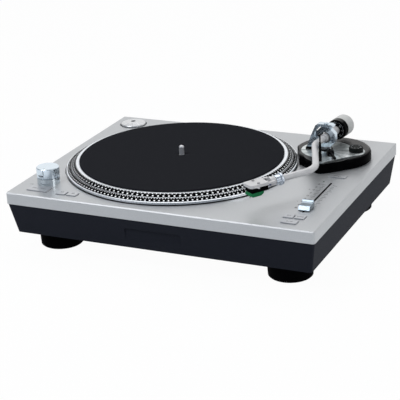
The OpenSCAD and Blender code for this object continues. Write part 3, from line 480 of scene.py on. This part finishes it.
def sheet_piece(name, sheet, material, body):
    bmesh.ops.remove_doubles(sheet, verts=sheet.verts[:], dist=JOIN)
    bmesh.ops.recalc_face_normals(sheet, faces=sheet.faces[:])
    mesh = bpy.data.meshes.new(name)
    sheet.to_mesh(mesh)
    sheet.free()
    return add_piece(name, mesh, material, body)


def ring_faces(count, steps):
    return [(k * count + i, (k + 1) % steps * count + i, (k + 1) % steps * count + (i + 1) % count,
             k * count + (i + 1) % count) for k in range(steps) for i in range(count)]


def spun_sheet(points, closed, centre, axis, steps):
    sheet = bmesh.new()
    line = [sheet.verts.new(point) for point in points]
    ends = line[1:] + line[:1] if closed else line[1:]
    edges = [sheet.edges.new(pair) for pair in zip(line, ends)]
    bmesh.ops.spin(sheet, geom=line + edges, cent=centre, axis=axis, angle=2 * math.pi, steps=steps,
                   use_merge=True)
    return sheet


def skin(sheet, loops):
    for one, two in zip(loops, loops[1:]):
        for c in range(len(one)):
            after = (c + 1) % len(one)
            sheet.faces.new((one[c], two[c], two[after], one[after]))
    sheet.faces.new(loops[0])
    sheet.faces.new(loops[-1][::-1])


print("points closer than", JOIN, "m are joined")

# %% [markdown]
# The rim of the platter carries the strobe dots: two black bands on the sloping edge, each with rows of
# bright raised dots, and a thin bright line between them. A lamp that flickers with the mains makes one
# row seem to stand still at the right speed. The bands are thin painted rings on the slope.

# %% Strobe bands
HUB = Vector((-0.041, 0.004, 0.0))
RIM_TOP = Vector((0.151, 0.099))
RIM_LOW = Vector((0.1645, 0.0912))
slope = (RIM_LOW - RIM_TOP).normalized()
proud = Vector((-slope.y, slope.x))
SLOPE_LENGTH = (RIM_LOW - RIM_TOP).length


def on_slope(along, height):
    return RIM_TOP + slope * along + proud * height


band_black = grained("band_black", (0.0010, 0.0010, 0.0013), (0.0018, 0.0018, 0.0021), 900,
                     (0.45, 0.55), 0, 0.1, gloss=0.02)
BANDS = ((0.0004, 0.0073), (0.0079, 0.0150))
BAND_ROOT, BAND_PROUD, BAND_STEPS = -0.0002, 0.00006, 240
for number, (start, end) in enumerate(BANDS, 1):
    outline = [on_slope(start, BAND_ROOT), on_slope(start, BAND_PROUD), on_slope(end, BAND_PROUD),
               on_slope(end, BAND_ROOT)]
    turns = [2 * math.pi * k / BAND_STEPS for k in range(BAND_STEPS)]
    verts = [(HUB.x + r * math.cos(turn), HUB.y + r * math.sin(turn), z) for turn in turns for r, z in outline]
    points_piece(f"strobe_band_{number}", verts, ring_faces(len(outline), BAND_STEPS), band_black, "platter")
print("bands on a slope of", round(SLOPE_LENGTH * 1000, 1), "mm")

# %% [markdown]
# Each dot is a small dome with a flat top. Its foot stands in the band, and its walls lean in, so it
# catches light from any side. The rows differ in count, as they do on a rim made for several speeds. A row
# is its place down the slope, its count, the radius of its dots and the share of a step it starts at.

# %% Strobe dots
dot_metal = grained("dot_metal", (0.90, 0.91, 0.92), (0.94, 0.95, 0.96), 900, (0.30, 0.40), 0.15, 0.02)
DOT_ROWS = ((0.0012, 180, 0.00085, 0.12), (0.0048, 133, 0.00140, 0.66), (0.0092, 262, 0.00072, 0.0),
            (0.0129, 160, 0.00130, 0.31))
DOT_TALL, DOT_SIDES = 0.00012, 8
DOT_RINGS = ((1.0, -0.0001), (0.95, 0.6 * DOT_TALL), (0.7, DOT_TALL))
verts, faces = [], []
for along, count, radius, phase in DOT_ROWS:
    for k in range(count):
        turn = 2 * math.pi * (k + phase) / count
        out = Vector((math.cos(turn), math.sin(turn), 0))
        side = Vector((-out.y, out.x, 0))
        down = out * slope.x + Vector((0, 0, slope.y))
        lift = out * proud.x + Vector((0, 0, proud.y))
        foot = out * on_slope(along, 0).x + Vector((HUB.x, HUB.y, on_slope(along, 0).y))
        first = len(verts)
        for size, height in DOT_RINGS:
            for s in range(DOT_SIDES):
                a = 2 * math.pi * (s + 0.5) / DOT_SIDES
                verts.append(foot + size * radius * (math.cos(a) * side + math.sin(a) * down) + lift * height)
        for ring in range(2):
            for s in range(DOT_SIDES):
                t = (s + 1) % DOT_SIDES
                low, high = first + ring * DOT_SIDES, first + (ring + 1) * DOT_SIDES
                faces.append((low + t, low + s, high + s, high + t))
        faces.append(tuple(first + 2 * DOT_SIDES + s for s in range(DOT_SIDES))[::-1])
        faces.append(tuple(first + s for s in range(DOT_SIDES)))
points_piece("strobe_dots", verts, faces, dot_metal, "platter", smooth=False)
print("dots", sum(row[1] for row in DOT_ROWS))

# %% [markdown]
# The slipmat is a round felt sheet. Felt is pressed fibre: dull, soft at its edge and never quite flat.
# The sheet is built from rings, its rim is rounded, and its top rolls by 0.16 mm at most. The fibre itself
# is finer than a mesh can hold, so the finish carries it as a finer, rougher noise.

# %% Felt mat
MAT_R, MAT_HOLE, MAT_LOW, MAT_TOP = 0.1465, 0.0042, 0.0985, 0.101
MAT_STEPS, MAT_RINGS, MAT_ROLL = 192, 24, 0.00008
felt = grained("felt", (0.0140, 0.0146, 0.0174), (0.0190, 0.0196, 0.0230), 520, (0.9, 1.0), 0, 0.5, gloss=0.05)
fibre = first_node(felt, "TEX_NOISE")
fibre.inputs["Detail"].default_value = 8
fibre.inputs["Roughness"].default_value = 0.7


def felt_roll(x, y):
    return MAT_ROLL * (math.sin(47 * x + 19 * y) + math.sin(31 * y - 23 * x + 1.3))


outline = [(MAT_HOLE, 0.25), (MAT_HOLE + 0.0006, 1.0)]
outline += [(MAT_HOLE + 0.0006 + (MAT_R - MAT_HOLE - 0.0016) * k / MAT_RINGS, 1.0)
            for k in range(1, MAT_RINGS + 1)]
outline += [(MAT_R - 0.0004, 0.86), (MAT_R, 0.55), (MAT_R - 0.0001, 0.25), (MAT_R - 0.0006, 0.0),
            (MAT_HOLE + 0.0004, 0.0)]
verts = []
for k in range(MAT_STEPS):
    turn = 2 * math.pi * k / MAT_STEPS
    for r, level in outline:
        x, y = r * math.cos(turn), r * math.sin(turn)
        z = MAT_LOW + level * (MAT_TOP - MAT_LOW - 2 * MAT_ROLL + felt_roll(x, y))
        verts.append((HUB.x + x, HUB.y + y, z))
faces = [face[::-1] for face in ring_faces(len(outline), MAT_STEPS)]
felt_mat = points_piece("felt_mat", verts, faces, felt, "platter")
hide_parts("slip_mat")
print("mat", len(verts), "points")

# %% [markdown]
# The deck carries a little printing. Ink is a film with hardly any height, so each sign is a letter outline
# pulled up by a few hundredths of a millimetre and laid on the surface it is printed on. The pitch scale has
# a tick for each step on both sides of the slot, longer for every second and fourth, and numbers from zero
# in the middle.

# %% Deck printing
INK_TALL = 0.00004
DECK_TOP = 0.087
ink_dark = grained("ink_dark", (0.030, 0.031, 0.034), (0.045, 0.046, 0.050), 1200, (0.5, 0.65), 0, 0.02,
                   gloss=0.2)
ink_pale = grained("ink_pale", (0.62, 0.64, 0.65), (0.72, 0.74, 0.75), 1200, (0.5, 0.65), 0, 0.02, gloss=0.2)


def add_sign(sheet, words, size, place):
    letters = bpy.data.curves.new("letters", "FONT")
    letters.body, letters.size, letters.extrude, letters.resolution_u = words, size, INK_TALL, 3
    letters.align_x = letters.align_y = "CENTER"
    holder = bpy.data.objects.new("letters", letters)
    mesh = bpy.data.meshes.new_from_object(holder)
    mesh.transform(place)
    sheet.from_mesh(mesh)
    bpy.data.meshes.remove(mesh)
    bpy.data.objects.remove(holder)
    bpy.data.curves.remove(letters)


def add_bar(sheet, place, size):
    bmesh.ops.create_cube(sheet, size=1, matrix=place @ Matrix.Diagonal((*size, 1)))


def on_deck(x, y, z=DECK_TOP):
    return Matrix.Translation((x, y, z))


SLOT_X, SCALE_FRONT, SCALE_STEP, SCALE_TICKS = 0.1885, -0.107, 0.005625, 17
TICK_CLEAR, TICK_WIDE = 0.0048, 0.0009
NUMBER_SIZE, NUMBER_AWAY = 0.0066, 0.0145
scale = bmesh.new()
for k in range(SCALE_TICKS):
    y = SCALE_FRONT + k * SCALE_STEP
    long = 0.0064 if k % 4 == 0 else 0.0050 if k % 2 == 0 else 0.0036
    add_bar(scale, on_deck(SLOT_X + TICK_CLEAR + long / 2, y), (long, TICK_WIDE, 2 * INK_TALL))
    add_bar(scale, on_deck(SLOT_X - TICK_CLEAR - long / 2, y), (long, TICK_WIDE, 2 * INK_TALL))
    if k % 2 == 0:
        add_sign(scale, str(abs(k - 8)), NUMBER_SIZE, on_deck(SLOT_X - NUMBER_AWAY, y))
add_sign(scale, "-", 0.006, on_deck(SLOT_X - 0.0205, SCALE_FRONT + 4 * SCALE_STEP))
add_sign(scale, "+", 0.006, on_deck(SLOT_X - 0.0205, SCALE_FRONT + 12 * SCALE_STEP))
add_sign(scale, "OFF", 0.0030, on_deck(-0.2062, -0.1378))
add_sign(scale, "ON", 0.0030, on_deck(-0.1680, -0.1378))
sheet_piece("deck_print", scale, ink_dark, "chassis")
print("pitch scale", SCALE_TICKS, "ticks a side")

# %% [markdown]
# Each button says what it does: the speeds and the pitch range as numbers, the rest in plain words. The sign
# is a piece of its own that rides with its button, so it goes down with it.

# %% Button signs
BUTTON_TOP = 0.0882
SIGNS = (("start", "START   STOP", 0.0034, -0.186, -0.1520), ("speed_low", "33", 0.0050, -0.148, -0.1545),
         ("speed_high", "45", 0.0050, -0.131, -0.1545), ("range", "8 / 16", 0.0036, 0.1838, -0.1560),
         ("reverse", "REV", 0.0034, 0.1764, -0.1375), ("lock", "LOCK", 0.0034, 0.1916, -0.1375),
         ("reset", "RESET", 0.0036, 0.1885, 0.0175))
for button, words, size, x, y in SIGNS:
    sheet = bmesh.new()
    add_sign(sheet, words, size, on_deck(x, y, BUTTON_TOP))
    sheet_piece(f"{button}_sign", sheet, ink_dark, f"{button}_button")
print("signs on", len(SIGNS), "buttons")

# %% [markdown]
# The power knob is plated plastic with two dark marks. A line runs over its edge to show which way it
# points, and lies in a groove of the solid. Lower down, a curved arrow shows the turning direction. It
# follows the round wall, so its points are worked out by angle and not drawn flat.

# %% Marks on the power knob
TOWER = Vector((-0.187, -0.124, 0.0963))
KNOB_R, KNOB_TALL = 0.016, 0.0145
INDEX_WAY, ARROW_TIP = math.radians(-84), math.radians(-123)
INDEX_WIDE = 0.0009
sheet = bmesh.new()
index_way = Matrix.Translation(TOWER) @ Matrix.Rotation(INDEX_WAY, 4, "Z")
over_top = index_way @ Matrix.Translation((0.0126, 0, KNOB_TALL - 0.0004))
down_wall = index_way @ Matrix.Translation((KNOB_R - 0.0004, 0, KNOB_TALL - 0.0044))
add_bar(sheet, over_top, (0.0048, INDEX_WIDE, 0.0004))
add_bar(sheet, down_wall, (0.0005, INDEX_WIDE, 0.0068))
ARROW_Z, ARROW_HALF, ARROW_STEPS = TOWER.z + 0.0047, 0.0012, 14
rows = []
for k in range(ARROW_STEPS + 1):
    part = k / ARROW_STEPS
    a = INDEX_WAY + (ARROW_TIP - INDEX_WAY) * part
    half = ARROW_HALF * (0.5 + 0.2 * math.cos(2 * math.pi * part) if part < 0.45 else 1.7 * (1 - part) + 0.05)
    rows.append([sheet.verts.new((TOWER.x + r * math.cos(a), TOWER.y + r * math.sin(a), ARROW_Z + side * half))
                 for r, side in ((KNOB_R - 0.0001, -1), (KNOB_R + INK_TALL, -1), (KNOB_R + INK_TALL, 1),
                                 (KNOB_R - 0.0001, 1))])
skin(sheet, rows)
sheet_piece("knob_marks", sheet, ink_dark, "power_knob")
print("knob marks from", round(math.degrees(INDEX_WAY)), "to", round(math.degrees(ARROW_TIP)), "degrees")

# %% [markdown]
# The slot of the slider looks black from any side, because two dark lips close it just below the deck; their
# near-black, matt finish paints the shade that fills the slot. The stem of the slider runs between them. Each
# lip is a thin strip whose inner edge is thinned, as a moulded lip is.

# %% Dark lips in the slot, painted shade
SLOT_ENDS, SLOT_HALF, STEM_ROOM = (-0.120, -0.007), 0.0015, 0.00062
LIP_TOP, LIP_THICK = 0.0866, 0.0008
LIP_LINE = ((SLOT_HALF, LIP_TOP - LIP_THICK), (STEM_ROOM, LIP_TOP - 0.7 * LIP_THICK),
            (STEM_ROOM, LIP_TOP - 0.4 * LIP_THICK), (SLOT_HALF, LIP_TOP))
# Near-black and matt, so the lips paint the shade inside the slot.
slot_shade_black = grained("slot_shade_black", (0.0010, 0.0010, 0.0012), (0.0018, 0.0018, 0.0020), 1500,
                    (0.7, 0.85), 0, 0.1, gloss=0.01)
sheet = bmesh.new()
for side in (-1, 1):
    ends = [[sheet.verts.new((SLOT_X + side * x, y, z)) for x, z in LIP_LINE] for y in SLOT_ENDS]
    skin(sheet, ends)
sheet_piece("slot_shade_lips", sheet, slot_shade_black, "chassis")
print("dust lips", round((SLOT_ENDS[1] - SLOT_ENDS[0]) * 1000), "mm long")

# %% [markdown]
# Beside the slider sits a tiny green lamp that lights at zero pitch. It is a clear plastic dome, dark
# while unlit. A sphere pressed flat gives it, with its lower half inside the deck.

# %% Pitch lamp
LAMP_R, LAMP_FLAT = 0.0012, 0.6
lamp_green = grained("lamp_green", (0.008, 0.045, 0.020), (0.012, 0.060, 0.028), 600, (0.10, 0.16), 0, 0.02)
dome = bmesh.new()
bmesh.ops.create_uvsphere(dome, u_segments=20, v_segments=10, radius=LAMP_R,
                          matrix=on_deck(0.1770, -0.0065) @ Matrix.Diagonal((1, 1, LAMP_FLAT, 1)))
pitch_lamp = sheet_piece("pitch_lamp", dome, lamp_green, "chassis")
pitch_lamp.data.polygons.foreach_set("use_smooth", [True] * len(pitch_lamp.data.polygons))
print("lamp dome", len(pitch_lamp.data.vertices), "points")

# %% [markdown]
# The tracking-force dial is a black ring with pale numbers from 0 to 3.5 on the face that looks along the
# arm. The arm has its own axes: x runs out along the tube from the pivot. On the face, a number stands with
# its head outward, so its right and up follow the circle.

# %% Numbers on the force dial
ARM_WAY = Matrix.Translation(PIVOT) @ Matrix.Rotation(math.radians(-96.4), 4, "Z")
DIAL_FACE = -0.031
DIAL_TICKS, DIAL_NUMBERS = 40, 8
TICKS_R, NUMBERS_R = 0.0123, 0.0088


def on_dial(angle, radius):
    up_way = Vector((0, math.sin(angle), math.cos(angle)))
    right_way = Vector((0, math.cos(angle), -math.sin(angle)))
    axes = Matrix((right_way, up_way, Vector((1, 0, 0)))).transposed().to_4x4()
    return ARM_WAY @ Matrix.Translation(Vector((DIAL_FACE, 0, 0)) + radius * up_way) @ axes


sheet = bmesh.new()
for k in range(DIAL_TICKS):
    long = 0.0018 if k % 5 == 0 else 0.0010
    add_bar(sheet, on_dial(2 * math.pi * k / DIAL_TICKS, TICKS_R - long / 2), (0.0003, long, 2 * INK_TALL))
for k in range(DIAL_NUMBERS):
    add_sign(sheet, f"{k / 2:g}", 0.0026, on_dial(2 * math.pi * k / DIAL_NUMBERS, NUMBERS_R))
sheet_piece("dial_print", sheet, ink_pale, "dial")
print("dial numbers 0 to 3.5")

# %% [markdown]
# The anti-skating knob has the steps 0 to 7 on its top, each with a short line, and they turn with it.

# %% Marks on the anti-skating knob
SKATE = Vector((0.1940, 0.0820, 0.1100))
sheet = bmesh.new()
for k in range(8):
    turn = Matrix.Translation(SKATE) @ Matrix.Rotation(math.radians(-20 - 40 * k), 4, "Z")
    add_bar(sheet, turn @ Matrix.Translation((0, 0.0084, 0)), (0.0003, 0.0012, 2 * INK_TALL))
    add_sign(sheet, str(k), 0.0022, turn @ Matrix.Translation((0, 0.0064, 0)))
sheet_piece("skate_print", sheet, ink_pale, "skate_knob")
print("skate steps 0 to 7")

# %% [markdown]
# Inside the headshell four short sleeves join the plug to the pins of the cartridge, one colour for each
# channel wire. They are stiff and straight here. Each is a small tube with a waist, where it is crimped.

# %% Headshell sleeves
HEAD_WAY = ARM_WAY @ Matrix.Translation((0.17884, 0.01916, 0)) @ Matrix.Rotation(math.radians(-27), 4, "Z")
SLEEVE_LINE = ((0.01735, 0.0), (0.01735, 0.0007), (0.0185, 0.0007), (0.0190, 0.00045), (0.0200, 0.00045),
               (0.0205, 0.0008), (0.0220, 0.0008), (0.0220, 0.0))
SLEEVE_COLOURS = (("white", (0.75, 0.75, 0.73)), ("red", (0.45, 0.020, 0.015)), ("green", (0.010, 0.20, 0.06)),
                  ("blue", (0.015, 0.05, 0.30)))
SLEEVE_PLACES, SLEEVE_Z = (-0.0036, -0.0012, 0.0012, 0.0036), -0.0025
for (colour, tint), y in zip(SLEEVE_COLOURS, SLEEVE_PLACES):
    finish = grained(f"sleeve_{colour}", tint, tuple(0.85 * c for c in tint), 900, (0.35, 0.45), 0, 0.02)
    line = [HEAD_WAY @ Vector((x, y + r, SLEEVE_Z)) for x, r in SLEEVE_LINE]
    axis = HEAD_WAY.to_3x3() @ Vector((1, 0, 0))
    sheet = spun_sheet(line, False, HEAD_WAY @ Vector((0, y, SLEEVE_Z)), axis, 12)
    sheet_piece(f"sleeve_{colour}", sheet, finish, "arm")
print("sleeves", [colour for colour, _ in SLEEVE_COLOURS])

# %% [markdown]
# The hole of the bearing ring is lined with a dark cup, which paints the shade in the gap round the block. It
# turns with the ring about the upright axis, and leaves room for the block inside it to tilt.

# %% Bearing cup
CUP_OUT, CUP_IN, CUP_HALF = 0.00797, 0.00725, 0.0037
CUP_LINE = ((-CUP_HALF, CUP_OUT), (-CUP_HALF, CUP_IN), (CUP_HALF, CUP_IN), (CUP_HALF, CUP_OUT))
line = [ARM_WAY @ Vector((x, r, 0)) for x, r in CUP_LINE]
sheet = spun_sheet(line, True, PIVOT, ARM_WAY.to_3x3() @ Vector((1, 0, 0)), 48)
# Dark plastic here is painted shade for the gap in the ring's hole.
sheet_piece("bearing_cup", sheet, dark_plastic, "yoke")
print("cup", round(2000 * CUP_IN, 1), "mm inside")

# %% [markdown]
# The bearing bridge stands on the turned disc with a black boot round its foot. The foot leans, so the boot
# is a box whose top is moved along, and a bevel rounds its edges.

# %% Boot of the bearing bridge
BOOT_LOW, BOOT_TOP = 0.1020, 0.1056
sheet = bmesh.new()
corners = [sheet.verts.new((PIVOT.x + x, PIVOT.y + y, z))
           for z, left, right_end in ((BOOT_LOW, -0.0300, -0.0194), (BOOT_TOP, -0.0284, -0.0182))
           for x, y in ((left, -0.0062), (right_end, -0.0062), (right_end, 0.0062), (left, 0.0062))]
for loop in ((3, 2, 1, 0), (4, 5, 6, 7), (0, 1, 5, 4), (1, 2, 6, 5), (2, 3, 7, 6), (3, 0, 4, 7)):
    sheet.faces.new([corners[i] for i in loop])
bmesh.ops.bevel(sheet, geom=sheet.edges[:], offset=0.0006, segments=2, affect="EDGES")
sheet_piece("bridge_boot", sheet, dark_plastic, "chassis")
print("boot", round((BOOT_TOP - BOOT_LOW) * 1000, 1), "mm tall")

# %% [markdown]
# At the rear each phono socket has a coloured insulator at its mouth, white for the left channel and red for
# the right. It is a thin ring round the hole, laid on the tip of the socket.

# %% Socket insulators
RING_IN, RING_OUT, RING_ROOT, RING_PROUD = 0.0018, 0.0034, -0.0001, 0.0003
RING_LINE = ((RING_IN, RING_ROOT), (RING_OUT, RING_ROOT), (RING_OUT, 0.5 * RING_PROUD),
             (RING_OUT - 0.0002, RING_PROUD), (RING_IN, RING_PROUD))
SOCKET_Z = 0.049
sockets = nodes["phono_sockets"]
socket_tip = max((sockets.matrix_world @ Vector(corner)).y for corner in sockets.bound_box)
RINGS = (("white", 0.106, (0.78, 0.78, 0.76)), ("red", 0.086, (0.50, 0.014, 0.012)))
for colour, x, tint in RINGS:
    finish = grained(f"socket_{colour}", tint, tuple(0.88 * c for c in tint), 700, (0.30, 0.40), 0, 0.02)
    line = [(x + r, socket_tip + out, SOCKET_Z) for r, out in RING_LINE]
    sheet = spun_sheet(line, True, (x, 0, SOCKET_Z), (0, 1, 0), 32)
    sheet_piece(f"socket_{colour}", sheet, finish, "chassis")
print("insulators at", round(socket_tip * 1000, 1), "mm")
